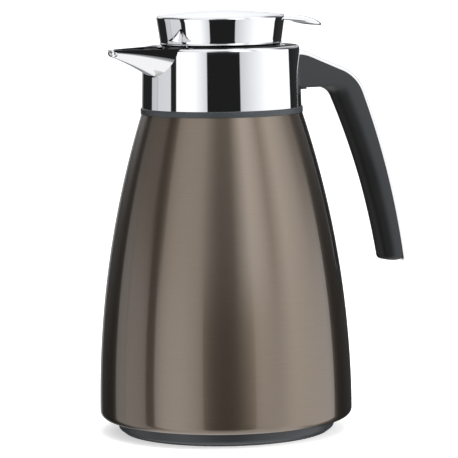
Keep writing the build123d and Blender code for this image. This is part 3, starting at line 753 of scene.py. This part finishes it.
def spine():
    """Chrome strip down the handle's outer face, deeper where it meets the collar."""
    end_r = 1.6
    flare_length, flare_depth = 11, 3.4
    half = GRIP_HALF_W + 0.03
    outer = outer_line(0, GRIP_BOTTOM_Z + end_r)
    inner = outer_line(SPINE_T, GRIP_BOTTOM_Z + end_r)
    sections = []
    for o, i in zip(outer, inner):
        flare = max(0.0, 1 - (o.x - HANDLE_ROOT_X) / flare_length) ** 2 * flare_depth
        inward = (i - o).normalized()
        sections.append(handle_section(o, i + inward * flare, half, 0.8, 0.25, 4))
    across, down = end_directions(outer[-1], inner[-1])
    curl_steps = 6
    for k in range(1, curl_steps + 1):
        a = pi / 2 * k / curl_steps
        pulled_in = 1 - cos(a)
        o = outer[-1] + across * end_r * pulled_in + down * end_r * sin(a)
        i = inner[-1] + down * end_r * sin(a) * 0.9
        sections.append(handle_section(o, i + across * 0.02, half - 0.8 * pulled_in, 0.4, 0.2, 4))
    obj = loft("spine", sections)
    return finish_piece(obj, "jug", "plated", "handle_spine")


# ---------------------------------------------------------------- studio
VIEW_AZIMUTH = radians(-30)
VIEW_ELEVATION = radians(6.1)
VIEW_ROLL = radians(0.84)
VIEW_DISTANCE = 1.8
LENS_MM = 235.8
AIM_RIGHT = 0.0033
AIM_Z = 0.121


def camera():
    """Long lens looking down a little, with the handle to the right and the spout to the left."""
    e = VIEW_ELEVATION
    back = Vector((sin(VIEW_AZIMUTH) * cos(e), -cos(VIEW_AZIMUTH) * cos(e), sin(e)))
    right = Vector((cos(VIEW_AZIMUTH), sin(VIEW_AZIMUTH), 0))
    aim = right * AIM_RIGHT + Vector((0, 0, AIM_Z))
    data = bpy.data.cameras.new("camera")
    data.lens = LENS_MM
    data.clip_end = 50
    obj = bpy.data.objects.new("camera", data)
    bpy.context.scene.collection.objects.link(obj)
    facing = (-back).to_track_quat("-Z", "Y").to_matrix() @ Matrix.Rotation(-VIEW_ROLL, 3, "Z")
    obj.matrix_world = Matrix.Translation(aim + back * VIEW_DISTANCE) @ facing.to_4x4()
    bpy.context.scene.camera = obj


# Studio panels round the object: bearing in degrees, counted from the camera and growing to its
# right, then the brightness there. A bearing listed twice is a panel's sharp edge.
EYE_PANELS = [
    (-180, 0.35), (-159, 0.30), (-159, 0.02), (-120, 0.02), (-120, 0.64), (-105.6, 0.70),
    (-105.6, 0.15), (-104.6, 0.15), (-104.6, 0.78), (-78.6, 0.82), (-78.6, 0.022), (-68.4, 0.022),
    (-68.4, 1.35), (-40, 1.30), (-20.8, 0.82), (-20.8, 0.016), (27.5, 0.016), (27.5, 0.74),
    (66, 1.25), (117, 1.35), (117, 0.02), (180, 0.05),
]
# The higher panels are softer. The brushed body gathers most of its light from them.
HIGH_PANELS = [
    (-180, 1.30), (-150, 0.90), (-130, 0.02), (-120, 0.02), (-120, 0.22), (-83, 0.26), (-83, 0.008),
    (-66, 0.008), (-66, 0.85), (-24, 1.05), (-6, 0.34), (10, 0.32), (28, 2.30), (42, 1.70), (52, 0.62),
    (68, 1.80), (90, 1.25), (104, 0.50), (114, 0.35), (114, 0.012), (140, 0.30), (180, 1.30),
]
TINT = (0.965, 0.975, 1.0)
EDGE = 0.0009  # softness of a panel's edge, as a share of a whole turn
# Elevations in degrees over which the high panels, the white overhead, the high panels again and
# the white table take over. The last two are counted downwards.
HIGH_FROM = (1, 14)
OVERHEAD_FROM = (38, 55)
LOW_FROM = (40, 46)
TABLE_FROM = (48, 56)
OVERHEAD_LEVEL = 1.1


class WorldNodes:
    """Short way to write the world's node tree."""

    def __init__(self, tree):
        self.tree = tree

    def add(self, kind, **settings):
        node = self.tree.nodes.new(kind)
        for key, value in settings.items():
            setattr(node, key, value)
        return node

    def math(self, operation, *inputs):
        node = self.add("ShaderNodeMath", operation=operation)
        for k, value in enumerate(inputs):
            if isinstance(value, (int, float)):
                node.inputs[k].default_value = value
            else:
                self.tree.links.new(value, node.inputs[k])
        return node.outputs[0]

    def panels(self, turn, listed):
        """Colour ramp of panel brightness over a whole turn."""
        ramp = self.add("ShaderNodeValToRGB")
        self.tree.links.new(turn, ramp.inputs["Fac"])
        stops = ramp.color_ramp
        for k, (bearing, level) in enumerate(listed):
            at = (bearing + 180) / 360
            if k and listed[k - 1][0] == bearing:
                at += EDGE
            stop = stops.elements[k] if k < 2 else stops.elements.new(min(1.0, at))
            stop.position = min(1.0, at)
            stop.color = (*[level * part for part in TINT], 1)
        return ramp.outputs["Color"]

    def step(self, value, elevations):
        """0 below the first elevation and 1 above the second, smooth between."""
        node = self.add("ShaderNodeMapRange", interpolation_type="SMOOTHSTEP")
        node.inputs["From Min"].default_value = sin(radians(elevations[0]))
        node.inputs["From Max"].default_value = sin(radians(elevations[1]))
        self.tree.links.new(value, node.inputs["Value"])
        return node.outputs["Result"]

    def mix(self, factor, a, b):
        node = self.add("ShaderNodeMix", data_type="RGBA")
        self.tree.links.new(factor, node.inputs["Factor"])
        for name, value in (("A", a), ("B", b)):
            if isinstance(value, tuple):
                node.inputs[name].default_value = value
            else:
                self.tree.links.new(value, node.inputs[name])
        return node.outputs["Result"]


def world():
    studio = bpy.data.worlds.new("studio")
    bpy.context.scene.world = studio
    studio.use_nodes = True
    studio.node_tree.nodes.clear()
    w = WorldNodes(studio.node_tree)
    split = w.add("ShaderNodeSeparateXYZ")
    w.tree.links.new(w.add("ShaderNodeTexCoord").outputs["Generated"], split.inputs[0])
    height = split.outputs["Z"]
    depth = w.math("MULTIPLY", height, -1.0)
    bearing = w.math("ARCTAN2", split.outputs["Y"], split.outputs["X"])
    to_camera = VIEW_AZIMUTH - pi / 2
    turn = w.math("FRACT", w.math("MULTIPLY_ADD", bearing, 1 / (2 * pi), 1.5 - to_camera / (2 * pi)))
    eye, high = w.panels(turn, EYE_PANELS), w.panels(turn, HIGH_PANELS)
    off_eye_level = w.math("MAXIMUM", w.step(height, HIGH_FROM), w.step(depth, LOW_FROM))
    around = w.mix(off_eye_level, eye, high)
    open_ends = w.math("MAXIMUM", w.step(height, OVERHEAD_FROM), w.step(depth, TABLE_FROM))
    domed = w.mix(open_ends, around, (OVERHEAD_LEVEL, OVERHEAD_LEVEL, OVERHEAD_LEVEL, 1))
    seen = w.mix(w.add("ShaderNodeLightPath").outputs["Is Camera Ray"], domed, (1.0, 1.0, 1.0, 1))
    background = w.add("ShaderNodeBackground")
    w.tree.links.new(seen, background.inputs["Color"])
    w.tree.links.new(background.outputs[0], w.add("ShaderNodeOutputWorld").inputs["Surface"])


def floor():
    """Pale floor that the polished parts don't mirror, so that they show the panels alone."""
    mesh = bpy.data.meshes.new("floor")
    size = 12.0  # metres from the middle to each side
    corners = [(-size, -size, 0), (size, -size, 0), (size, size, 0), (-size, size, 0)]
    mesh.from_pydata(corners, [], [(0, 1, 2, 3)])
    obj = bpy.data.objects.new("floor", mesh)
    bpy.context.scene.collection.objects.link(obj)
    n = Nodes("pale_floor")
    n.set(Roughness=0.9, Specular_IOR_Level=0.1, Emission_Strength=0.5, Emission_Color=(1, 1, 1, 1))
    n.link(n.blend(n.noise(3), (0.86, 0.86, 0.86), (0.88, 0.88, 0.88)), n.shader.inputs["Base Color"])
    mesh.materials.append(n.material)
    obj.visible_glossy = False


def soft_light(name, place, size, power):
    data = bpy.data.lights.new(name, "AREA")
    data.shape = "DISK"
    data.size = size
    data.energy = power
    obj = bpy.data.objects.new(name, data)
    bpy.context.scene.collection.objects.link(obj)
    facing = (Vector((0, 0, 0.12)) - Vector(place)).to_track_quat("-Z", "Y")
    obj.matrix_world = Matrix.Translation(place) @ facing.to_matrix().to_4x4()
    obj.visible_glossy = False


# ---------------------------------------------------------------- build
dress_cad_nodes()
for make in (body_shell, neck_band, base, pouring_collar, lid_ring, lid_top, thumb_lever, grip, spine):
    make()
camera()
world()
floor()
soft_light("top_light", (0.1, -0.2, 1.6), 1.2, 9)
soft_light("side_light", (0.9, -1.2, 0.9), 0.8, 8)
bpy.context.scene.view_settings.view_transform = "Standard"
